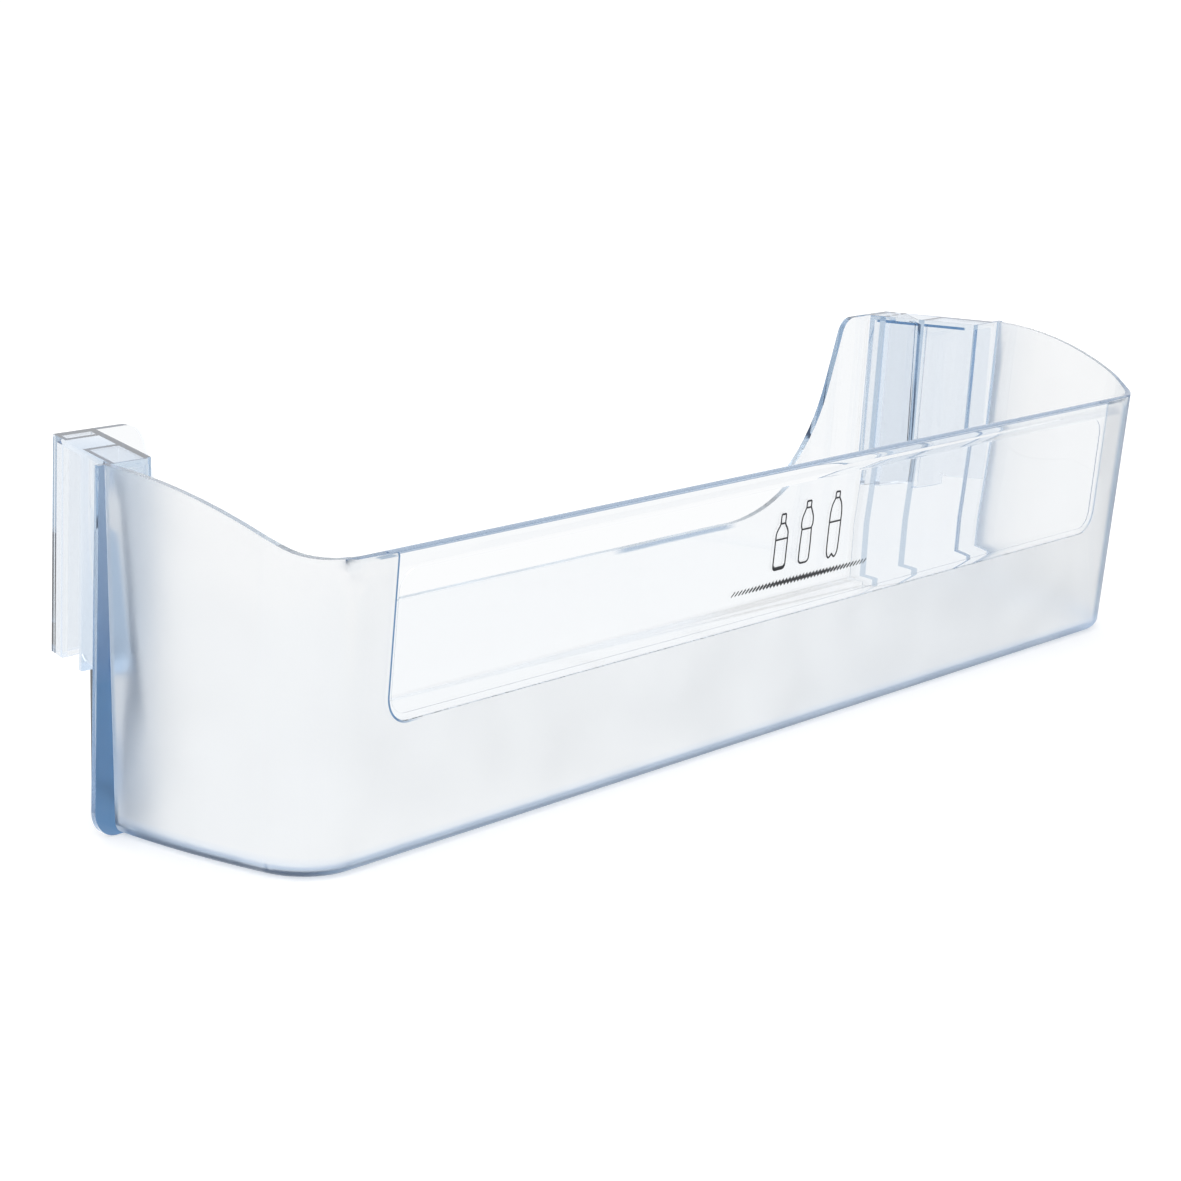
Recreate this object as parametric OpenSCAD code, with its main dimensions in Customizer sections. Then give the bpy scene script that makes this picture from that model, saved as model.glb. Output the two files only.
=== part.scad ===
// Door shelf of a refrigerator: a clear bin moulded in one piece, with a bracket pocket at each rear corner.
// X runs along the shelf, the front faces -Y, and the origin is under the middle of its box.

/* [Overall] */
// Width across the two side lips
overall_w = 490; // [480:1:520]
// Depth from the front rim to the rear face
overall_d = 120; // [114:1:126]
// Height of the brackets and of the rear end of the side walls
overall_h = 112; // [108:1:124]
// Height of the front rim
front_h = 95; // [88:1:100]

/* [Shell] */
// Thickness of the front and side walls
wall = 2.2; // [1.8:0.1:2.8]
// Thickness of the floor
floor_t = 2.4; // [2:0.1:3.2]
// Draft of the front and side walls, in degrees
draft = 3; // [2:0.25:4]
// Fillet round the outside of the bottom edge
bottom_r = 4.5; // [3:0.25:6]
// Plan radius of the two front corners at the floor
corner_r = 20.5; // [17:0.5:24]
// Plan radius of the curved side walls at the floor
side_r = 265; // [250:1:290]
// Angle that each side wall turns through before its corner begins
join_angle = 12; // [10:0.5:14]

/* [Rim] */
// Length, front to back, over which the side rim comes down to the front rim
sweep_l = 74; // [64:1:78]
// Radius that blends the sweep into the front rim
sweep_blend_r = 25; // [15:1:30]
// Rounding of the front rim's outer top edge
rim_r = 1.8; // [0.8:0.1:2]
// Depth of the bead inside the front rim, top to bottom
bead_h = 6.5; // [5:0.5:12]
// Thickness of the front wall at the bead
bead_t = 3.8; // [3.6:0.1:5.5]
// Rounding of the bead's inner top edge
bead_r = 1.6; // [0.8:0.1:1.8]

/* [Window] */
// Distance from each side of the clear window to the start of the corner
window_margin = 10.5; // [4:0.5:40]
// Height of the window's lower edge
window_z = 43; // [30:1:60]
// Depth of the window's outer recess
window_depth = 0.5; // [0.3:0.1:0.8]
// Radius of the window's lower corners
window_r = 9; // [4:0.5:15]
// Depth of the recess on the window's inner face
lens_depth = 0.3; // [0.2:0.1:0.5]
// Distance from the outer recess's edges to the inner recess's edges
lens_inset = 2; // [1:0.5:5]
// Radius of the inner recess's corners
lens_r = 6.5; // [3:0.5:12]

/* [Rear wall] */
// Thickness of the rear wall
rear_t = 2.5; // [2:0.1:3.2]
// Height of the rear wall between its swept ends
rear_h = 40; // [30:1:46]
// Radius of the concave sweep at each end of the rear wall
sweep_end_r = 68; // [56:0.5:72]
// Angle between the top of the sweep and the vertical
sweep_end_lean = 19; // [12:1:25]
// Width of the raised end's flat top, up to the bracket
rear_end_w = 11; // [8:0.5:20]
// Rounding of the raised end's top corner
rear_end_r = 8; // [4:0.5:10]

/* [Brackets] */
// Width across the two brackets at the rear face
bracket_span = 448.5; // [444:0.5:453]
// How far the bracket walls run outward for each millimetre toward the front
splay = 0.37; // [0.25:0.01:0.39]
// Depth of the bracket, from the rear face to the front of the step wall
bracket_d = 43.7; // [41:0.1:48]
// Width of the bracket along X at its top, over its two side walls
bracket_w = 15.8; // [14:0.1:18]
// Draft of the bracket's inner wall, in degrees
bracket_draft = 1.4; // [0.5:0.1:2]
// Height of the bracket's outer plates
pocket_h = 67; // [56:0.5:74]
// Thickness of the bracket's walls, ribs and cap
plate = 2.1; // [1.8:0.1:2.6]
// Thickness of the wall across the bracket's front, and of the side lip
step_t = 1.8; // [1.4:0.1:2.6]
// Front-to-back length of the lip behind the slot, which ends in a rib
slot_lip = 8.5; // [6:0.1:10]
// Front-to-back width of the open slot between its two ribs
slot_w = 13; // [11:0.1:15]
// How far the plate in front of the slot ends above the rear lip's lower end
flange_step = 3.8; // [0:0.1:8]
// Radius of the lower corner of that plate
flange_r = 6; // [3:0.5:9]
// Radius of the lower corner of the side lip
lip_r = 8.5; // [4:0.5:10]
// How far the side lip stands out past the top of the side wall
lip_out = 2.1; // [1.5:0.1:4]

/* [Hidden] */
TINT = [0.72, 0.84, 0.94, 0.45];
FILLET_FN = 48;
CORNER_FN = 96;
SWEEP_FN = 480;
OVERLAP = 0.5;
HAIR = 0.01;
SEAM = 0.02;
SEAM_ANGLE = 0.1;
lean = tan(draft);
front_y = -overall_d / 2 - rim_r * ((1 + sin(draft)) / cos(draft) - 1);
rear_y = overall_d / 2;
step_y = rear_y - bracket_d;
front_foot_y = round(100 * (front_y + front_h * lean)) / 100;
// The side arc meets the corner arc on the line of their centres, and the corner arc meets the straight front.
// The corner's centre and the front foot are kept to a hundredth of a millimetre, and the side foot follows.
side_offset = (side_r - corner_r) * [-cos(join_angle), sin(join_angle)];
corner_cx = round(100 * (overall_w / 2 - lip_out - overall_h * lean - side_r - side_offset[0])) / 100;
corner_cy = front_foot_y + corner_r;
side_cx = corner_cx + side_offset[0];
side_cy = corner_cy + side_offset[1];
side_turn = join_angle + asin((step_y + step_t / 2 - side_cy) / (side_r + overall_h * lean / 2));
floor_inset = bottom_r + 1;
floor_strip = 14;
sweep_drop = overall_h - front_h;
sweep_r = (sweep_l * sweep_l + sweep_drop * sweep_drop) / (2 * sweep_drop) - sweep_blend_r;
bead_y = front_y + bead_t;
rim_edge_y = front_y + rim_r * (1 + sin(draft)) / cos(draft);
half_rear = bracket_span / 2;
splay_angle = atan(splay);
plate_x = plate / cos(splay_angle);
bracket_lean = tan(bracket_draft);
foot_shift = overall_h * bracket_lean / cos(splay_angle);
pocket_z = overall_h - pocket_h;

// Point in plan at a distance y from the middle, set in along X from the bracket's outer face
function splayed(inset, y) = [half_rear - inset + splay * (rear_y - y), y];

// Outline of a leaning wall's outside: foot is where its slanted line meets z = 0, and r rounds it into the level low.
// Here and in the rear wall a straight line is let into a rounding by a hairline, so that the two cross cleanly.
module leaning_outline(foot, low, r, top) {
    centre = [foot - r * (1 - sin(draft)) / cos(draft) + low * lean, low + r];
    translate(centre) {
        circle(r, $fn = FILLET_FN);
        polygon([[-centre[0], -r], [0, -r], (r - HAIR) * [cos(draft), -sin(draft)],
                 [foot + top * lean - centre[0] - HAIR, top - low - r], [-centre[0], top - low - r]]);
    }
}

// Section through a wall and the floor beside it. Its axis is shift to the left, its faces are drawn in by seam,
// and it is kept only past x = from.
module wall_section(shift, seam, from) {
    difference() {
        translate([shift - seam, 0]) leaning_outline(corner_r, 0, bottom_r, overall_h);
        translate([shift + seam, 0])
            leaning_outline(corner_r - wall / cos(draft), floor_t, bottom_r - wall, overall_h + 1);
        if (from > 0) square([from, overall_h + 2]);
    }
}

// Carries a side-view outline across the shelf
module across(width) {
    rotate([90, 0, 90]) linear_extrude(width, center = true) children();
}

// Carries a front-view outline forward from back_y
module upright(back_y, thickness) {
    translate([0, back_y, 0]) rotate([90, 0, 0]) linear_extrude(thickness) children();
}

// Front wall between the two corners
module front_wall() {
    translate([0, corner_cy, 0]) rotate([90, 0, -90])
        linear_extrude(2 * corner_cx, center = true) wall_section(0, 0, 0);
}

// Corner and curved side wall of the right-hand end, the side wall let into the corner by a hairline
module end_wall() {
    translate([corner_cx, corner_cy, 0]) {
        rotate_extrude(angle = 90 - join_angle, start = -90, $fn = CORNER_FN) wall_section(0, 0, 0);
        translate(side_offset)
            rotate_extrude(angle = side_turn + SEAM_ANGLE, start = -join_angle - SEAM_ANGLE, $fn = SWEEP_FN)
                wall_section(side_r - corner_r, SEAM, side_r - floor_strip);
    }
}

// Side view of what is cut away above the swept rim
module above_rim() {
    centre = [step_y, overall_h - sweep_r];
    blend = [step_y - sweep_l, front_h + sweep_blend_r];
    touch = centre + (blend - centre) * sweep_r / (sweep_r + sweep_blend_r);
    top = overall_h + 5;
    difference() {
        union() {
            translate([-overall_d, front_h]) square([overall_d + blend[0], top - front_h]);
            intersection() {
                translate(blend) circle(sweep_blend_r, $fn = CORNER_FN);
                translate([-overall_d, 0]) square([2 * overall_d, top]);
            }
            polygon([blend, touch, [step_y, overall_h], [step_y, top], [blend[0], top]]);
        }
        translate(centre) circle(sweep_r, $fn = SWEEP_FN);
    }
}

// Side view of what is cut away to round the front rim's outer top edge, which fades out in the corners
module above_rim_edge() {
    centre = [rim_edge_y, front_h - rim_r];
    touch = centre - rim_r * [cos(draft), sin(draft)];
    difference() {
        polygon([touch, centre, [centre[0], front_h + rim_r], [front_y - rim_r, front_h + rim_r],
                 [front_y - rim_r, touch[1]]]);
        translate(centre) circle(rim_r, $fn = FILLET_FN);
    }
}

// Floor inside the walls' own floor strips
module floor_plate() {
    join = [side_cx, side_cy] + (side_r - floor_inset) * [cos(join_angle), -sin(join_angle)];
    inside_wall = bracket_w - plate_x / 2 + foot_shift;
    half = [[corner_cx + 2, corner_cy - 2], join, [side_cx + side_r - floor_inset, step_y + step_t / 2],
            splayed(inside_wall, step_y + step_t / 2), splayed(inside_wall, rear_y)];
    linear_extrude(floor_t)
        polygon([for (p = half) p, for (i = [len(half) - 1 : -1 : 0]) [-half[i][0], half[i][1]]]);
}

// Bead inside the front rim, which runs out in the corners
module rim_bead() {
    low = front_h - bead_h;
    inner_y = front_foot_y - low * lean + wall / cos(draft);
    outer_y = (rim_edge_y + front_y + wall) / 2;
    ring = corner_r + front_h * lean - wall * 0.6;
    intersection() {
        across(overall_w) {
            polygon([[outer_y, low], [inner_y, low], [bead_y, low + bead_h / 2], [bead_y, front_h - bead_r],
                     [bead_y - bead_r, front_h], [outer_y, front_h]]);
            translate([bead_y - bead_r, front_h - bead_r]) circle(bead_r, $fn = FILLET_FN);
        }
        translate([0, corner_cy, 0]) linear_extrude(overall_h) {
            translate([-corner_cx, OVERLAP - ring]) square([2 * corner_cx, ring]);
            for (side = [-1, 1]) translate([side * corner_cx, 0]) circle(ring, $fn = CORNER_FN);
        }
    }
}

// Rounded rectangle between z0 and z1, with round upper corners only where round_top is true
module panel(half_w, z0, z1, r, round_top) {
    translate([-half_w, z0 + r]) square([2 * half_w, z1 - z0 - (round_top ? 2 : 1) * r]);
    translate([r - half_w, z0]) square([2 * (half_w - r), z1 - z0]);
    for (side = [-1, 1], z = round_top ? [z0 + r, z1 - r] : [z0 + r])
        translate([side * (half_w - r), z]) circle(r, $fn = FILLET_FN);
}

// Slabs that thin the window from outside and from inside, laid along the leaning wall
module window_recesses() {
    half_w = corner_cx - window_margin;
    translate([0, front_foot_y, 0]) rotate([draft, 0, 0]) {
        upright(window_depth, window_depth + 2) panel(half_w, window_z, front_h + 5, window_r, false);
        upright(wall + 2, lens_depth + 2)
            panel(half_w - lens_inset, window_z + lens_inset, front_h - bead_h, lens_r, true);
    }
}

// Rear wall: low in the middle and swept up to the two brackets
module rear_wall() {
    end_x = half_rear - bracket_w + plate_x / 2;
    tip = [half_rear - bracket_w - rear_end_w, overall_h - rear_end_r];
    away = [cos(sweep_end_lean), -sin(sweep_end_lean)];
    rise = tip[1] - rear_h - rear_end_r * away[1] - sweep_end_r * (1 + away[1]);
    centre_x = tip[0] - (rear_end_r + sweep_end_r) * away[0] - rise * tan(sweep_end_lean);
    centre = [centre_x, rear_h + sweep_end_r - HAIR];
    half = [[end_x - foot_shift, 0], [end_x, overall_h], [tip[0], overall_h], tip - (rear_end_r - HAIR) * away,
            centre + (sweep_end_r - HAIR) * away, [centre_x, rear_h]];
    upright(rear_y, rear_t) {
        difference() {
            polygon([for (p = half) p, for (i = [len(half) - 1 : -1 : 0]) [-half[i][0], half[i][1]]]);
            for (side = [-1, 1])
                translate([side * centre[0], centre[1]]) circle(sweep_end_r, $fn = SWEEP_FN / 2);
        }
        for (side = [-1, 1]) translate([side * tip[0], tip[1]]) circle(rear_end_r, $fn = FILLET_FN);
    }
}

// Runs a section forward along the right-hand bracket's splay, kept between two distances from the rear face.
// The section is square to the splay: its x is 0 at the bracket's outer face and negative inward.
module splayed_run(back_0, back_1) {
    intersection() {
        translate([half_rear, rear_y, 0]) rotate([90, 0, splay_angle])
            translate([0, 0, -bracket_w]) linear_extrude(bracket_d + 3 * bracket_w) children();
        translate([0, rear_y - back_1, -1]) cube([overall_w, back_1 - back_0, overall_h + 2]);
    }
}

// Section from the outer face, or inset_0, to a face that leans with the inner wall, from z0 up to the top
module leaning_section(inset_0, inset_1, z0, leans_both) {
    shift = (overall_h - z0) * bracket_lean;
    polygon([[-inset_0, overall_h], [-inset_1, overall_h], [-inset_1 - shift, z0],
             [-inset_0 - (leans_both ? shift : 0), z0]]);
}

// Wall across the front of the right-hand bracket, which stands out past the side wall as a lip
module step_wall() {
    top_x = splayed(bracket_w - plate_x * 0.6, step_y)[0];
    half_w = overall_w / 2;
    upright(step_y + step_t, step_t) {
        polygon([[top_x - foot_shift, 0], [half_w - lip_r, 0], [half_w - lip_r, lip_r], [half_w, lip_r],
                 [half_w, overall_h], [top_x, overall_h]]);
        translate([half_w - lip_r, lip_r]) circle(lip_r, $fn = FILLET_FN);
    }
}

// Outer plate in front of the slot, with its lower rear corner rounded
module slot_flange() {
    edge_y = rear_y - slot_lip - slot_w;
    low = pocket_z + flange_step;
    intersection() {
        splayed_run(slot_lip + slot_w, bracket_d - step_t / 2)
            translate([-plate, low]) square([plate, overall_h - low]);
        translate([half_rear, 0, 0]) across(overall_w / 4) {
            translate([0, low + flange_r]) square([edge_y, overall_h - low - flange_r]);
            translate([0, low]) square([edge_y - flange_r, overall_h - low]);
            translate([edge_y - flange_r, low + flange_r]) circle(flange_r, $fn = FILLET_FN);
        }
    }
}

// Bracket pocket at the right-hand end, open below and, through its slot, to the side
module bracket() {
    width = bracket_w * cos(splay_angle);
    inner_face = width - plate;
    front_back = bracket_d - step_t / 2;
    splayed_run(0, front_back) leaning_section(inner_face, width, 0, true);
    splayed_run(0, rear_t) leaning_section(0, width - plate / 2, pocket_z, false);
    splayed_run(0, slot_lip) translate([-plate, pocket_z]) square([plate, pocket_h]);
    for (back = [slot_lip - plate, slot_lip + slot_w])
        splayed_run(back, back + plate) leaning_section(0, width - plate / 2, pocket_z, false);
    splayed_run(0, front_back) leaning_section(0, width - plate / 2, overall_h - plate, false);
    slot_flange();
    step_wall();
}

module door_shelf() {
    color(TINT) {
        difference() {
            union() {
                front_wall();
                end_wall();
                mirror([1, 0, 0]) end_wall();
            }
            across(overall_w + 2) {
                above_rim();
                above_rim_edge();
            }
            window_recesses();
        }
        rim_bead();
        floor_plate();
        rear_wall();
        bracket();
        mirror([1, 0, 0]) bracket();
    }
}

door_shelf();
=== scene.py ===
# Door shelf of a refrigerator: one clear moulding with a faint blue tint, frosted outside, with a polished window
# and a small print on it. Lengths are in metres: X runs along the shelf, the front faces -Y and Z is up.
import math

import bmesh
import bpy
import numpy as np
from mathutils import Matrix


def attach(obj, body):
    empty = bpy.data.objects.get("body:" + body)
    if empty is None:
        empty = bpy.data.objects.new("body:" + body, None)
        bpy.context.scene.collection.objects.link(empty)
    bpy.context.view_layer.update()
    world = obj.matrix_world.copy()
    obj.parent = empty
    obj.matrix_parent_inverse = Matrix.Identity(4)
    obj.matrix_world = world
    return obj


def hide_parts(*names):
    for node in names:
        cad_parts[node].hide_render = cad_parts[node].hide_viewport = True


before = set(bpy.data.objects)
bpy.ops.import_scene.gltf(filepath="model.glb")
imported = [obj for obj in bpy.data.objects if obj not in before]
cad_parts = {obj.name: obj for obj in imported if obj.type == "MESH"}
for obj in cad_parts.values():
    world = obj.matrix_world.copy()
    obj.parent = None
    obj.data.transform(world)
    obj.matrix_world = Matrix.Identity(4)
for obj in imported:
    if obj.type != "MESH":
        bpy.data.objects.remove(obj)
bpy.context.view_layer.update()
print("frame loaded")


# a shader socket that can be used in expressions, so that a mask is written as plain maths
class Socket:
    def __init__(self, tree, link):
        self.tree, self.link = tree, link

    def node(self, kind, settings=(), values=(), output=0):
        made = self.tree.nodes.new(kind)
        for name, value in dict(settings).items():
            if name == "stops":
                for position, _ in value[1:-1]:
                    made.color_ramp.elements.new(position)
                for stop, (position, colour) in zip(made.color_ramp.elements, value):
                    stop.position, stop.color = position, colour
            else:
                setattr(made, name, value)
        for key, value in dict(values).items():
            if isinstance(value, Socket):
                self.tree.links.new(value.link, made.inputs[key])
            else:
                made.inputs[key].default_value = value
        return Socket(self.tree, made.outputs[output])

    def maths(self, operation, a, b=0.0, c=0.0):
        return self.node("ShaderNodeMath", {"operation": operation}, {0: a, 1: b, 2: c})

    def __add__(self, other): return self.maths("ADD", self, other)
    def __radd__(self, other): return self.maths("ADD", other, self)
    def __sub__(self, other): return self.maths("SUBTRACT", self, other)
    def __rsub__(self, other): return self.maths("SUBTRACT", other, self)
    def __mul__(self, other): return self.maths("MULTIPLY", self, other)
    def __rmul__(self, other): return self.maths("MULTIPLY", other, self)
    def size(self): return self.maths("ABSOLUTE", self)
    def root(self): return self.maths("SQRT", self)
    def clamped(self, low, high): return self.node("ShaderNodeClamp", {}, {0: self, 1: low, 2: high})


def newMaterial(name):
    material = bpy.data.materials.new(name)
    material.use_nodes = True
    tree = material.node_tree
    shader = next(n for n in tree.nodes if n.type == "BSDF_PRINCIPLED")
    output = next(n for n in tree.nodes if n.type == "OUTPUT_MATERIAL")
    return material, tree, shader, output


plastic = {
    "ior": 1.57,
    "depthColour": (0.42, 0.57, 0.70, 1.0),  # what light keeps on a long way through the plastic
    "depthDensity": 19.0,  # per metre
    # painted shade in the surface colour: from open walls (0) over rims (0.5) to edges (1), darkened to the blue of
    # light carried from far inside
    "paintedShadeColours": [(0.0, (0.99, 0.995, 1.0, 1.0)), (0.5, (0.28, 0.37, 0.46, 1.0)), (1.0, (0.010, 0.045, 0.14, 1.0))],
    # painted light given off at the edges: white where the painted value is below zero (0), none (0.5), deep blue (1)
    "paintedEdgeLight": [(0.0, (0.36, 0.43, 0.50, 1.0)), (0.5, (0.0, 0.0, 0.0, 1.0)), (0.7, (0.018, 0.036, 0.07, 1.0)),
                  (1.0, (0.026, 0.05, 0.09, 1.0))],
    # painted light and shade at the bottom edge: darker blue and glowing blue up to this height
    "footRise": 0.007,
    "paintedFootGlow": 0.4,
    "paintedFootLight": (0.022, 0.058, 0.12, 1.0),
    # painted shade: the frosting is darker where it is seen at a slant
    "slantFrom": 0.54,
    "paintedSlantShade": 0.6,
    "slantRise": 140.0,
    # painted shade on the frosted sides toward the brackets
    "sideFrom": -0.004,  # y from which the frosted sides take colour toward the brackets
    "paintedSideShade": 0.12,
    # painted shade on the side lip, deepest at the bottom
    "paintedLipShade": 1.15,
    "lipFade": 0.5,
    "rightLip": 0.35,  # share of the lip's tint on the right, where it is only seen through the side wall
    # painted shade of the ribs: y range of each rib behind the bracket's inner wall, and how dark it is painted there
    "ribReach": (0.015, 0.061),
    "ribs": [(0.0159, 0.0170, 0.4), (0.0362, 0.0387, 0.48), (0.0513, 0.0538, 0.42), (0.0572, 0.0602, 0.42)],
    # painted shade: a thin dark line under the cap, broken at the ribs
    "paintedCapLine": {"from": 0.0202, "to": 0.0552, "height": 0.1100, "thick": 0.0012, "glow": 1.0},
    # painted shade with a faint painted blue light, a band a little way down from the rear wall's upper edge, where
    # that edge carries light
    "paintedRearLine": {"from": 0.046, "to": 0.124, "height": 0.03885, "thick": 0.0027, "back": 0.0565, "glow": 0.45},
    # painted shade: a dark line along the window's outline
    "window": {"half": 0.20069, "low": 0.043, "r": 0.009, "line": 0.0008, "fadeTo": 0.186, "glow": 1.4},
    "polished": 0.0,
    "frost": 0.34,
    "sideFrost": 0.25,
    "frostChange": 0.08,  # how much the frosting varies from patch to patch
    "grain": 0.00045,  # size of the frosting's grain
    "grainDepth": 0.00001,
    "waves": 28.0,  # per metre
    "waveDepth": 0.0002,
}

# where the frosted outside of the moulding lies
shell = {
    "draft": math.radians(3.0),
    "frontFoot": -0.05512,  # y at which the front's slant meets z = 0
    "cornerX": 0.21119,
    "cornerY": -0.03462,
    "cornerR": 0.0205,
    "joinAngle": math.radians(12.0),
    "sideR": 0.265,
    "bottomR": 0.0045,
    "stepY": 0.0163,
    "merge": 1e-6,
    "flat": math.radians(0.4),  # faces flatter than this to each other become one
    "crease": math.radians(28.0),
    "frontEnd": -0.045,
    "windowEnd": 0.205,
    "rimFrom": 0.0931,
    # painted light and shade for each face: values above zero darken it toward blue with a faint blue glow, values
    # below zero make it give off white light
    "paintedRimShade": 0.78,
    "paintedSideRimLight": -0.4,
    "paintedCornerRimShade": 0.15,
    "paintedRearRimShading": ((0.041, 0.047, 0.078), (-1.0, -0.25, 0.5)),  # heights and the glow there
    "paintedRecessLight": -0.5,
    "recessFrom": 0.035,
    "innerRecess": (-0.00212, -0.00194),  # distances between which the inner recess's narrow sides lie
    "paintedInnerShade": 0.42,
    "paintedRecessShade": 0.25,
    "paintedNarrowShade": 0.56,
    "paintedBracketShade": 0.06,
    "outerFrom": 0.234,
    "paintedOuterShade": 0.15,
    "capFrom": 0.1115,
    "paintedCapShade": 0.2,
    "wallArea": 0.002,
    "clearEdge": -0.19,  # the window's edge is polished only at its left-hand end
    "softEdge": 0.5,
    "swoopFrom": 0.05,
}


# clear plastic: Principled glass on the surface and absorption inside; the frosting is roughness with a fine grain,
# and the polished faces have long shallow waves that bend what is seen through them
#   roughness = polished + (frost + patches - polished) * mask
# painted light and shade: the base colour turns deep blue and the emission glows at rims, edges, the foot, the lip,
# behind the ribs and along the window's outline
def plasticMaterial():
    material, tree, shader, output = newMaterial("clearPlastic")
    shader.inputs["Transmission Weight"].default_value = 1.0
    shader.inputs["IOR"].default_value = plastic["ior"]
    start = Socket(tree, None)
    place = start.node("ShaderNodeTexCoord", output="Object")
    mask = start.node("ShaderNodeAttribute", {"attribute_name": "frosting"}, output="Fac")
    edge = start.node("ShaderNodeAttribute", {"attribute_name": "edgeGlow"}, output="Fac")
    lip = start.node("ShaderNodeAttribute", {"attribute_name": "lip"}, output="Fac")
    inner = start.node("ShaderNodeAttribute", {"attribute_name": "bracketWall"}, output="Fac")
    x, y, z = (start.node("ShaderNodeSeparateXYZ", {}, {0: place}, output=axis) for axis in "XYZ")
    # painted light and shade: the bottom edge is darker blue and glows upward, and the frosting is painted darker
    # where it is seen at a slant
    foot = (1 - z * (1 / plastic["footRise"])).clamped(0.0, 1.0) * plastic["paintedFootGlow"]
    slant = start.node("ShaderNodeLayerWeight", {}, {"Blend": 0.5}, output="Facing")
    slant = ((slant - plastic["slantFrom"]) * 7.0).clamped(0.0, 1.0) * (z * plastic["slantRise"]).clamped(0.0, 1.0)
    # painted shade: the frosted sides darken toward the brackets
    side = ((y - plastic["sideFrom"]) * (1 / (shell["stepY"] - plastic["sideFrom"]))).clamped(0.0, 1.0)
    edge = edge + (start.maths("MAXIMUM", foot, slant * plastic["paintedSlantShade"]) + side * plastic["paintedSideShade"]) * mask
    # painted shade: the side lip darkens downward
    onRight = (x * 100.0).clamped(0.0, 1.0)
    edge = edge + lip * (plastic["paintedLipShade"] - z * (plastic["lipFade"] / 0.112)) * (
        1 - onRight * (1 - plastic["rightLip"]))
    # painted shade: the bracket's inner wall is darker where a rib or the rear wall stands behind it
    # red is the painted shade of the ribs along y, green is 1 between them
    ribFrom, ribTo = plastic["ribReach"]
    stops = [(0.0, (0.0, 1.0, 0.0, 1.0))]
    for low, high, glow in plastic["ribs"]:
        soft = 0.1 * (high - low)
        for at, red in ((low, 0.0), (low + soft, glow), (high - soft, glow), (high, 0.0)):
            stops.append(((at - ribFrom) / (ribTo - ribFrom), (red, float(red == 0.0), 0.0, 1.0)))
    stops.append((1.0, (0.0, 1.0, 0.0, 1.0)))
    ribs = start.node("ShaderNodeValToRGB", {"stops": stops}, {"Fac": (y - ribFrom) * (1 / (ribTo - ribFrom))})
    edge = edge + inner * start.node("ShaderNodeSeparateColor", {}, {0: ribs}, output="Red")
    gap = start.node("ShaderNodeSeparateColor", {}, {0: ribs}, output="Green")
    # painted shade: the dark line under the cap
    cap = plastic["paintedCapLine"]
    capBand = (5.0 - (z - cap["height"]).size() * (10.0 / cap["thick"])).clamped(0.0, 1.0)
    capReach = (20.0 - (y - (cap["from"] + cap["to"]) / 2).size() * (40.0 / (cap["to"] - cap["from"]))).clamped(0.0, 1.0)
    edge = edge + inner * capBand * capReach * gap * cap["glow"]
    # painted shade along the rear wall's upper edge
    rear = plastic["paintedRearLine"]
    rearBand = (2.0 - (z - rear["height"]).size() * (4.0 / rear["thick"])).clamped(0.0, 1.0)
    rearReach = (5.0 - (x - (rear["from"] + rear["to"]) / 2).size() * (10.0 / (rear["to"] - rear["from"]))).clamped(
        0.0, 1.0)
    edge = edge + rearBand * rearReach * ((y - rear["back"]) * 2000.0).clamped(0.0, 1.0) * rear["glow"]
    # painted shade: a dark line along the window's rounded outline, deep at the left-hand edge
    #   distance = hypot(max(|x| - side, 0), max(foot - z, 0)) - r
    window = plastic["window"]
    across = (x.size() - (window["half"] - window["r"])).clamped(0.0, 1.0)
    down = ((window["low"] + window["r"]) - z).clamped(0.0, 1.0)
    off = (across * across + down * down).root() - window["r"] - window["line"] / 2
    line = ((1 - off.size() * (2 / window["line"])) * 3.0).clamped(0.0, 1.0)
    left = ((-window["fadeTo"] - x) * (1 / (window["half"] - window["fadeTo"]))).clamped(0.0, 1.0)
    edge = edge + line * mask * left * window["glow"]
    # painted shade: the sum darkens the base colour toward deep blue
    colour = start.node("ShaderNodeValToRGB", {"stops": plastic["paintedShadeColours"]}, {"Fac": edge.clamped(0.0, 1.0)})
    tree.links.new(colour.link, shader.inputs["Base Color"])
    # painted light: the same sum gives white or blue emission, and the foot gives off blue light
    glow = start.node("ShaderNodeValToRGB", {"stops": plastic["paintedEdgeLight"]},
                      {"Fac": (edge * 0.5 + 0.5).clamped(0.0, 1.0)})
    glow = start.node("ShaderNodeMix", {"data_type": "RGBA"},
                      {0: (foot * mask * (1 / plastic["paintedFootGlow"])).clamped(0.0, 1.0), 6: glow,
                       7: plastic["paintedFootLight"]}, output=2)
    tree.links.new(glow.link, shader.inputs["Emission Color"])
    shader.inputs["Emission Strength"].default_value = 1.0
    patches = start.node("ShaderNodeTexNoise", {}, {"Vector": place, "Scale": 60.0, "Detail": 0.0})
    rough = (patches - 0.5) * (2 * plastic["frostChange"]) + (plastic["frost"] - plastic["polished"])
    # the side walls are frosted more coarsely toward the brackets
    coarse = ((y + 0.02) * 40.0).clamped(0.0, 1.0) * plastic["sideFrost"]
    tree.links.new(((rough + coarse) * mask + plastic["polished"]).link, shader.inputs["Roughness"])
    grain = start.node("ShaderNodeTexNoise", {}, {"Vector": place, "Scale": 0.5 / plastic["grain"], "Detail": 0.0})
    waves = start.node("ShaderNodeTexNoise", {}, {"Vector": place, "Scale": plastic["waves"], "Detail": 0.0})
    height = grain * mask * plastic["grainDepth"] + (1 - mask) * waves * plastic["waveDepth"]
    bump = start.node("ShaderNodeBump", {}, {"Height": height, "Strength": 1.0, "Distance": 1.0})
    tree.links.new(bump.link, shader.inputs["Normal"])
    depth = tree.nodes.new("ShaderNodeVolumeAbsorption")
    depth.inputs["Color"].default_value = plastic["depthColour"]
    depth.inputs["Density"].default_value = plastic["depthDensity"]
    tree.links.new(depth.outputs[0], output.inputs["Volume"])
    return material


clearPlastic = plasticMaterial()


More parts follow.
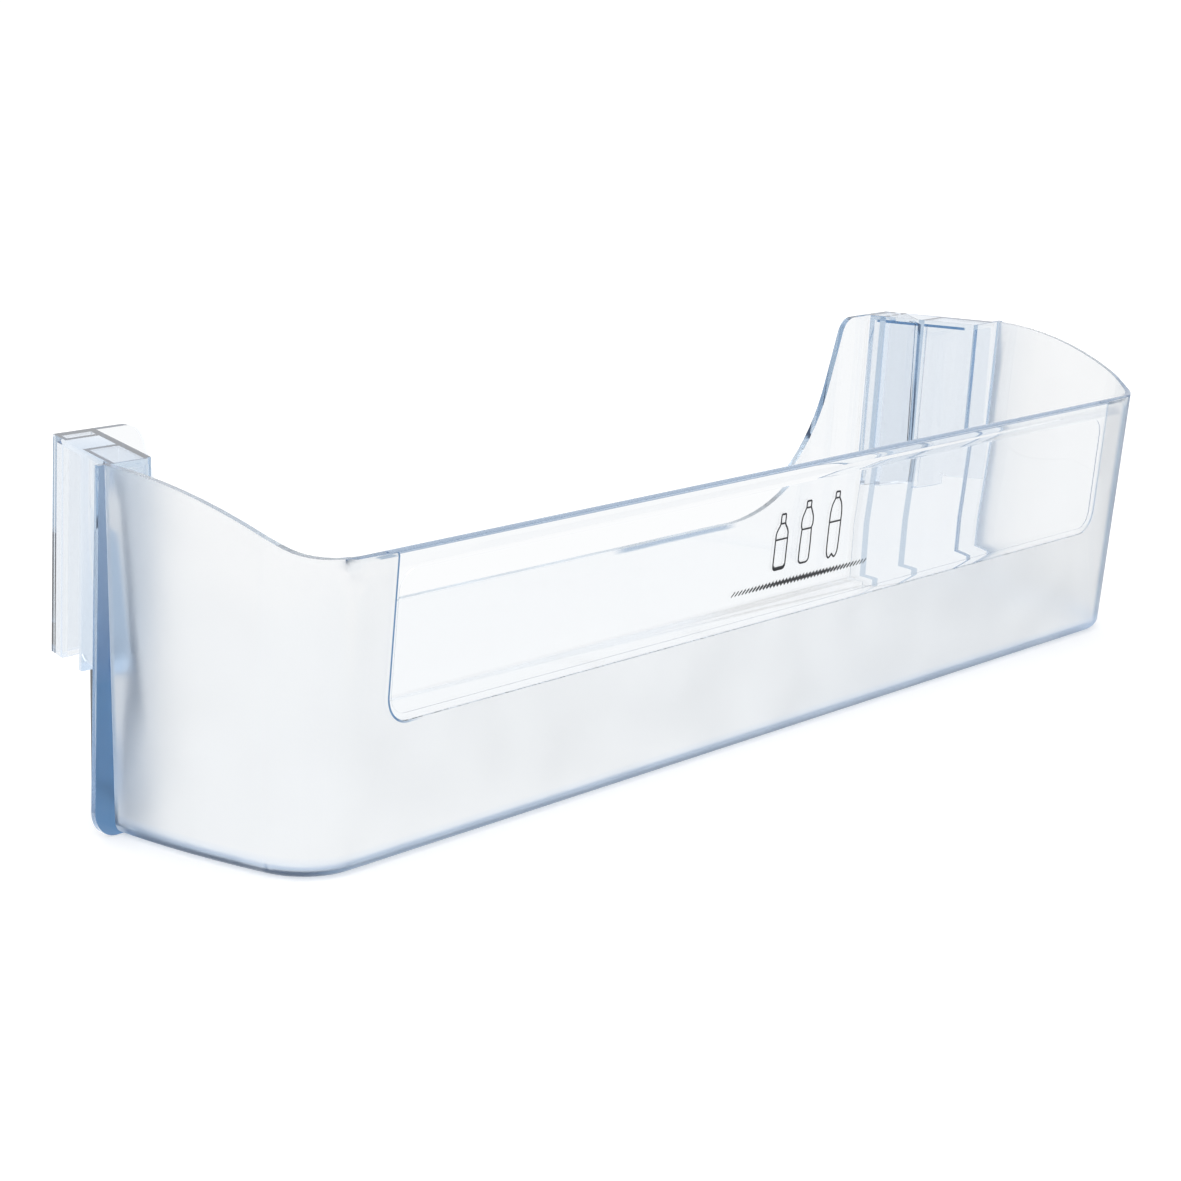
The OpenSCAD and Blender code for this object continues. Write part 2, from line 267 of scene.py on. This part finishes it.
# signed distance outside the leaning wall: front plane, corner cone or side cone by the angle round the corner
#   front: (foot - y) cos d - z sin d     cones: (hypot(dx, dy) - radius) cos d - z sin d
def outsideDistance(points):
    x, y, z = np.abs(points[:, 0]), points[:, 1], points[:, 2]
    cosDraft, sinDraft = math.cos(shell["draft"]), math.sin(shell["draft"])
    reach = shell["sideR"] - shell["cornerR"]
    sideX = shell["cornerX"] - reach * math.cos(shell["joinAngle"])
    sideY = shell["cornerY"] + reach * math.sin(shell["joinAngle"])
    front = shell["frontFoot"] - y
    corner = np.hypot(x - shell["cornerX"], y - shell["cornerY"]) - shell["cornerR"]
    side = np.hypot(x - sideX, y - sideY) - shell["sideR"]
    turn = np.arctan2(x - shell["cornerX"], shell["cornerY"] - y)
    past = np.arctan2(y - sideY, x - sideX) > -shell["joinAngle"]
    radial = np.where(x < shell["cornerX"], front, np.where(past & (turn > 0.5), side, corner))
    return radial * cosDraft - z * sinDraft


# the moulding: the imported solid's own surface with its doubles merged and its flat faces joined
def mouldedShell():
    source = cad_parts["door_shelf"]
    work = bmesh.new()
    work.from_mesh(source.data)
    bmesh.ops.remove_doubles(work, verts=work.verts, dist=shell["merge"])
    bmesh.ops.dissolve_limit(work, angle_limit=shell["flat"], verts=work.verts, edges=work.edges, delimit=set())
    mesh = bpy.data.meshes.new("mouldedShell")
    work.to_mesh(mesh)
    work.free()
    mesh.materials.clear()
    mesh.materials.append(clearPlastic)
    count = len(mesh.polygons)
    centres, normals = np.zeros(count * 3), np.zeros(count * 3)
    mesh.polygons.foreach_get("center", centres)
    mesh.polygons.foreach_get("normal", normals)
    centres, normals = centres.reshape(-1, 3), normals.reshape(-1, 3)
    distance = outsideDistance(centres)
    x, y, z = np.abs(centres[:, 0]), centres[:, 1], centres[:, 2]
    # a facet's middle lies a little inside its arc, so the curved part is taken with a wider margin than the flat one
    margin = np.where(x < shell["windowEnd"], 0.00018, 0.0006)
    onWall = (np.abs(distance) < margin) & (y < shell["stepY"] - 0.0002)
    onFoot = (centres[:, 2] < shell["bottomR"]) & (normals[:, 2] < -0.02) & (distance > -0.006) & (
        centres[:, 1] < shell["stepY"] - 0.0002)
    # faces with painted light and shade: the front rim, the side rims, the recess's sides and every narrow face of the
    # brackets
    areas = np.zeros(count)
    mesh.polygons.foreach_get("area", areas)
    loopEdges, edgeEnds = np.zeros(len(mesh.loops), np.int32), np.zeros(len(mesh.edges) * 2, np.int32)
    mesh.loops.foreach_get("edge_index", loopEdges)
    mesh.edges.foreach_get("vertices", edgeEnds)
    corners = np.zeros(len(mesh.vertices) * 3)
    mesh.vertices.foreach_get("co", corners)
    ends = corners.reshape(-1, 3)[edgeEnds.reshape(-1, 2)]
    lengths = np.linalg.norm(ends[:, 0] - ends[:, 1], axis=1)
    starts, totals = np.zeros(count, np.int32), np.zeros(count, np.int32)
    mesh.polygons.foreach_get("loop_start", starts)
    mesh.polygons.foreach_get("loop_total", totals)
    perimeters = np.add.reduceat(lengths[loopEdges], starts)
    widths = 2 * areas / perimeters  # a long strip's width
    inFront = y < shell["frontEnd"]
    flat = x < shell["windowEnd"]
    onLip = (normals[:, 1] < -0.9) & (np.abs(y - shell["stepY"]) < 0.0001) & (distance > -0.0022)
    onRecess = inFront & (distance > -0.00045) & (distance < -0.00005) & flat & (z < shell["rimFrom"]) & (
        z > shell["recessFrom"])
    onSideRim = ~inFront & (normals[:, 2] > 0.5) & (distance < 0.0) & (distance > -0.0026) & (z > 0.09)
    onRearRim = (y > 0.0574) & (np.abs(normals[:, 1]) < 0.5) & (x < 0.215) & (z > 0.038)
    frosting = (onWall | onFoot).astype(float)
    frosting[onRecess & (centres[:, 0] > shell["clearEdge"])] = 1.0
    frosting[onSideRim | onLip | (onRearRim & (z < shell["swoopFrom"]))] = shell["softEdge"]
    # painted light and shade for each face: positive values darken and glow blue, negative ones glow white
    glow = np.where((y > shell["stepY"] + 0.0002) & (x > 0.2), shell["paintedBracketShade"], 0.0)
    glow[(y > shell["stepY"] + 0.0002) & (x > shell["outerFrom"])] = shell["paintedOuterShade"]
    glow[(y > shell["stepY"]) & (x > 0.2) & (z > shell["capFrom"]) & (normals[:, 2] > 0.9)] = shell["paintedCapShade"]
    narrow = (widths > 0.0002) & (widths < 0.0027) & (perimeters > 0.02) & (y > shell["stepY"] - 0.001)
    glow[narrow] = shell["paintedNarrowShade"]
    glow[onRearRim] = np.interp(z[onRearRim], *shell["paintedRearRimShading"])
    glow[(z > shell["rimFrom"]) & inFront & (distance > -0.0042) & ~onWall
         & flat] = shell["paintedRimShade"]
    glow[(z > shell["rimFrom"]) & inFront & (distance > -0.0042) & ~onWall & ~flat
         & (normals[:, 2] > 0.3)] = shell["paintedCornerRimShade"]
    glow[inFront & flat & (distance > shell["innerRecess"][0]) & (distance < shell["innerRecess"][1])
         & (np.abs(normals[:, 1]) < 0.5) & ((normals[:, 2] < 0.2) | (z > 0.07))] = shell["paintedInnerShade"]
    glow[onSideRim] = shell["paintedSideRimLight"]
    glow[onRecess & (centres[:, 0] > shell["clearEdge"])] = shell["paintedRecessLight"]
    glow[onRecess & (np.abs(normals[:, 0]) > 0.3) & (centres[:, 0] < 0)] = shell["paintedRecessShade"]
    glow[onLip] = 0.0
    onBracket = (np.abs(normals[:, 0]) > 0.8) & (normals[:, 0] * centres[:, 0] < 0) & (y > 0.02) & (
        areas > shell["wallArea"])
    for name, values in (("frosting", frosting), ("edgeGlow", glow), ("lip", onLip), ("bracketWall", onBracket)):
        layer = mesh.attributes.new(name, "FLOAT", "FACE")
        layer.data.foreach_set("value", np.asarray(values, np.float32))
    mesh.polygons.foreach_set("use_smooth", np.ones(count, bool))
    mesh.set_sharp_from_angle(angle=shell["crease"])
    piece = bpy.data.objects.new("mouldedShell", mesh)
    bpy.context.scene.collection.objects.link(piece)
    # each corner's normal leans to its largest face, so flat walls stay flat up to their fillets
    weighted = piece.modifiers.new("flatWalls", "WEIGHTED_NORMAL")
    weighted.mode, weighted.weight, weighted.keep_sharp = "FACE_AREA", 100, True
    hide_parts("door_shelf")
    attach(piece, "root")
    return piece


moulding = mouldedShell()
print("moulding", len(moulding.data.polygons), "faces")

ink, inkTree, inkShader, inkOutput = newMaterial("printInk")
inkShader.inputs["Base Color"].default_value = (0.016, 0.018, 0.024, 1.0)
inkShader.inputs["Roughness"].default_value = 0.55

printSheet = {
    "face": 0.0005,  # how far the window's outer face lies behind the wall's outside
    "gap": -0.00001,  # the ink is in contact with the plastic, so it is also seen from inside
    "film": 0.00004,
    "line": 0.00070,
    "bottles": [  # x of the middle, height of the foot, then the right half's outline as (half width, height)
        {"x": -0.0113, "foot": 0.0602, "neck": 0.0158, "level": 0.0104, "heavy": 0.0005, "outline": [
            (0.0, 0.0), (0.0022, 0.0), (0.0031, 0.0006), (0.0034, 0.0016), (0.0034, 0.0060), (0.0034, 0.0104),
            (0.0033, 0.0125), (0.0026, 0.0139), (0.0017, 0.0150), (0.0013, 0.0160), (0.0013, 0.0176),
            (0.0011, 0.0189), (0.0, 0.0190)]},
        {"x": 0.0029, "foot": 0.0604, "neck": 0.0192, "level": 0.0118, "outline": [
            (0.0, 0.0), (0.0018, 0.0001), (0.0028, 0.0010), (0.0030, 0.0024), (0.0030, 0.0070), (0.0028, 0.0112),
            (0.0027, 0.0119), (0.0033, 0.0133), (0.0031, 0.0158), (0.0019, 0.0182), (0.0013, 0.0194),
            (0.0013, 0.0208), (0.0011, 0.0214), (0.0, 0.0215)]},
        {"x": 0.0197, "foot": 0.0598, "neck": 0.0209, "level": 0.0126, "outline": [
            (0.0, 0.0012), (0.0008, 0.0004), (0.0018, 0.0), (0.0029, 0.0012), (0.0033, 0.0032), (0.0034, 0.0080),
            (0.0034, 0.0126), (0.0033, 0.0160), (0.0026, 0.0188), (0.0014, 0.0206), (0.0012, 0.0212),
            (0.0012, 0.0224), (0.0010, 0.0230), (0.0, 0.0231)]},
    ],
    "hatch": {"from": -0.0358, "to": 0.0410, "height": 0.0552, "strokes": 40, "tall": 0.0015, "slant": 0.0010,
              "thin": 0.00042, "thick": 0.00135},
}


# a point of the window: x along it, up along the leaning wall, out from its outer face
#   y = foot + (face - out) cos d - up sin d     z = (face - out) sin d + up cos d
def onWindow(x, up, out):
    inward = printSheet["face"] - out
    cosDraft, sinDraft = math.cos(shell["draft"]), math.sin(shell["draft"])
    return np.stack([x, shell["frontFoot"] + inward * cosDraft - up * sinDraft,
                     inward * sinDraft + up * cosDraft], -1)


# a closed band of ink along a path: four edge lines at +-width/2 across it and at the film's two faces
def inkBand(path, width, closed):
    path = np.asarray(path, float)
    if closed:
        along = np.roll(path, -1, 0) - np.roll(path, 1, 0)
    else:
        along = np.gradient(path, axis=0)
    along /= np.linalg.norm(along, axis=1)[:, None]
    across = np.stack([-along[:, 1], along[:, 0]], -1) * width / 2
    near, far = printSheet["gap"], printSheet["gap"] + printSheet["film"]
    corners = [(path - across, near), (path + across, near), (path + across, far), (path - across, far)]
    points = np.stack([onWindow(p[:, 0], p[:, 1], out) for p, out in corners], 1).reshape(-1, 3)
    count = len(path)
    i = np.arange(count if closed else count - 1)[:, None]
    j = np.arange(4)[None, :]
    nextI, nextJ = (i + 1) % count, (j + 1) % 4
    faces = np.stack([i * 4 + j, nextI * 4 + j, nextI * 4 + nextJ, i * 4 + nextJ], -1).reshape(-1, 4)
    if not closed:
        ends = np.array([[0, 1, 2, 3], [4 * count - 1, 4 * count - 2, 4 * count - 3, 4 * count - 4]])
        faces = np.vstack([faces, ends])
    return points, faces


# a smooth run through given points: piecewise cubic with the tangents of its neighbours (Catmull-Rom)
#   p(t) = h00 p1 + h10 m1 + h01 p2 + h11 m2
def smoothRun(points, steps):
    points = np.asarray(points, float)
    tangents = np.gradient(points, axis=0)
    t = np.linspace(0, 1, steps, endpoint=False)[None, :, None]
    a, b, ma, mb = (v[:, None, :] for v in (points[:-1], points[1:], tangents[:-1], tangents[1:]))
    run = (2 * t**3 - 3 * t**2 + 1) * a + (t**3 - 2 * t**2 + t) * ma + (3 * t**2 - 2 * t**3) * b + (t**3 - t**2) * mb
    return np.vstack([run.reshape(-1, points.shape[1]), points[-1:]])


def joined(parts):
    points, faces, base = [], [], 0
    for p, f in parts:
        points.append(p)
        faces.append(f + base)
        base += len(p)
    return np.vstack(points), np.vstack(faces)


def addPiece(name, points, faces, material, slot):
    mesh = bpy.data.meshes.new(name)
    mesh.from_pydata(points.tolist(), [], faces.tolist())
    mesh.materials.append(material)
    work = bmesh.new()
    work.from_mesh(mesh)
    bmesh.ops.recalc_face_normals(work, faces=work.faces)
    work.to_mesh(mesh)
    work.free()
    piece = bpy.data.objects.new(name, mesh)
    bpy.context.scene.collection.objects.link(piece)
    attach(piece, "root")
    return piece


for number, bottle in enumerate(printSheet["bottles"], 1):
    half = smoothRun(bottle["outline"], 6)
    outline = np.vstack([half[:-1], (half * [-1, 1])[::-1][:-1]]) + [bottle["x"], bottle["foot"]]
    parts = [inkBand(outline, printSheet["line"], True)]
    for height in (bottle["neck"], bottle["level"]):
        reach = np.interp(height, half[:, 1], half[:, 0]) - printSheet["line"] * 0.4
        across = np.array([[-reach, height], [0.0, height], [reach, height]]) + [bottle["x"], bottle["foot"]]
        parts.append(inkBand(across, printSheet["line"] * 0.9, False))
    if "heavy" in bottle:  # a thicker foot
        foot = outline[(outline[:, 1] < bottle["foot"] + 0.0008)]
        foot = foot[np.argsort(foot[:, 0])] + [0.0, bottle["heavy"]]
        parts.append(inkBand(foot, printSheet["line"] * 1.4, False))
    addPiece(f"bottlePrint{number}", *joined(parts), ink, "print_ink")

# hatched line: slanted strokes, thick in the middle and thin at both ends
hatch = printSheet["hatch"]
parts = []
for t in np.linspace(0, 1, hatch["strokes"]):
    x = hatch["from"] + (hatch["to"] - hatch["from"]) * t
    weight = math.sin(math.pi * t) ** 1.3
    width = hatch["thin"] + (hatch["thick"] - hatch["thin"]) * weight
    tall = hatch["tall"] / 2
    stroke = [[x - hatch["slant"] * tall / hatch["tall"] * 2, hatch["height"] - tall], [x, hatch["height"]],
              [x + hatch["slant"] * tall / hatch["tall"] * 2, hatch["height"] + tall]]
    parts.append(inkBand(stroke, width, False))
addPiece("hatchedLine", *joined(parts), ink, "print_ink")
print("print on the window")

studio = {
    "floorReach": 20.0,
    "floorLevel": -0.0003,
    "floorColour": (0.7, 0.7, 0.7, 1.0),
    "floorGlow": 0.42,  # tops the lit floor up to white for the camera
    "floorThrough": 1.0,  # share of plain white floor in what is seen through the plastic or mirrored in it
    "skyLight": 0.95,
    "skyTop": 0.93,  # how bright the sky overhead looks in the plastic
    "cards": [  # soft boxes: name, place, size, power in watts
        ("softboxLeft", (-1.4, -0.6, 1.5), 1.2, 9.0),
        ("softboxRear", (0.5, 1.6, 1.6), 1.6, 9.0),
    ],
}


def rayKind(start, *names):
    total = start.node("ShaderNodeLightPath", output=names[0])
    for name in names[1:]:
        total = total + start.node("ShaderNodeLightPath", output=name)
    return total.clamped(0.0, 1.0)


reach, level = studio["floorReach"], studio["floorLevel"]
floorMesh = bpy.data.meshes.new("floor")
floorMesh.from_pydata([(-reach, -reach, level), (reach, -reach, level), (reach, reach, level), (-reach, reach, level)],
                      [], [(0, 1, 2, 3)])
floorMaterial, tree, shader, output = newMaterial("paleFloor")
shader.inputs["Base Color"].default_value = studio["floorColour"]
shader.inputs["Roughness"].default_value = 1.0
shader.inputs["Specular IOR Level"].default_value = 0.0
shader.inputs["Emission Color"].default_value = (1.0, 1.0, 1.0, 1.0)
start = Socket(tree, None)
tree.links.new((rayKind(start, "Is Camera Ray") * studio["floorGlow"]).link, shader.inputs["Emission Strength"])
plainWhite = start.node("ShaderNodeEmission", {}, {"Color": (1.0, 1.0, 1.0, 1.0), "Strength": 1.0})
through = rayKind(start, "Is Glossy Ray", "Is Transmission Ray") * studio["floorThrough"]
mixed = start.node("ShaderNodeMixShader", {}, {0: through, 1: Socket(tree, shader.outputs[0]), 2: plainWhite})
tree.links.new(mixed.link, output.inputs["Surface"])
floorMesh.materials.append(floorMaterial)
floor = bpy.data.objects.new("floor", floorMesh)
bpy.context.scene.collection.objects.link(floor)

world = bpy.data.worlds.new("studio")
bpy.context.scene.world = world
world.use_nodes = True
tree = world.node_tree
background = next(n for n in tree.nodes if n.type == "BACKGROUND")
background.inputs["Color"].default_value = (1.0, 1.0, 1.0, 1.0)
# the sky is white to the camera and near the horizon, and softer overhead in what the plastic mirrors and bends
#   strength = skyLight + (seen - skyLight) * direct,  seen = 1 - (1 - skyTop) * smoothstep(height)
start = Socket(tree, None)
direction = start.node("ShaderNodeTexCoord", output="Generated")
height = start.node("ShaderNodeSeparateXYZ", {}, {0: direction}, output="Z")
fade = start.node("ShaderNodeMapRange", {"interpolation_type": "SMOOTHSTEP"},
                  {"Value": height, "From Min": 0.25, "From Max": 0.85, "To Min": 1.0, "To Max": studio["skyTop"]})
direct = rayKind(start, "Is Glossy Ray", "Is Transmission Ray")
camera = rayKind(start, "Is Camera Ray")
strength = (1 - camera) * ((fade - studio["skyLight"]) * direct + studio["skyLight"]) + camera
tree.links.new(strength.link, background.inputs["Strength"])

for name, place, size, power in studio["cards"]:
    light = bpy.data.lights.new(name, "AREA")
    light.size = size
    light.energy = power
    lamp = bpy.data.objects.new(name, light)
    lamp.location = place
    toward = -np.array(place)
    lamp.rotation_euler = (math.atan2(math.hypot(toward[0], toward[1]), -toward[2]), 0.0,
                           math.atan2(toward[1], toward[0]) - math.pi / 2)
    bpy.context.scene.collection.objects.link(lamp)

view = {"place": (-0.7945, -0.6001, 0.2821), "turn": (76.2355, -2.8534, -50.8596), "lens": 89.24, "sensor": 36.0}
lens = bpy.data.cameras.new("camera")
lens.lens, lens.sensor_width, lens.sensor_fit = view["lens"], view["sensor"], "AUTO"
lens.clip_start, lens.clip_end = 0.01, 60.0
cameraObject = bpy.data.objects.new("camera", lens)
cameraObject.location = view["place"]
cameraObject.rotation_euler = [math.radians(a) for a in view["turn"]]
bpy.context.scene.collection.objects.link(cameraObject)
bpy.context.scene.camera = cameraObject
bpy.context.scene.view_settings.view_transform = "Standard"
cycles = bpy.context.scene.cycles  # light runs far inside clear plastic before it leaves
cycles.max_bounces, cycles.glossy_bounces, cycles.transmission_bounces = 20, 12, 20
print("floor, light and camera")
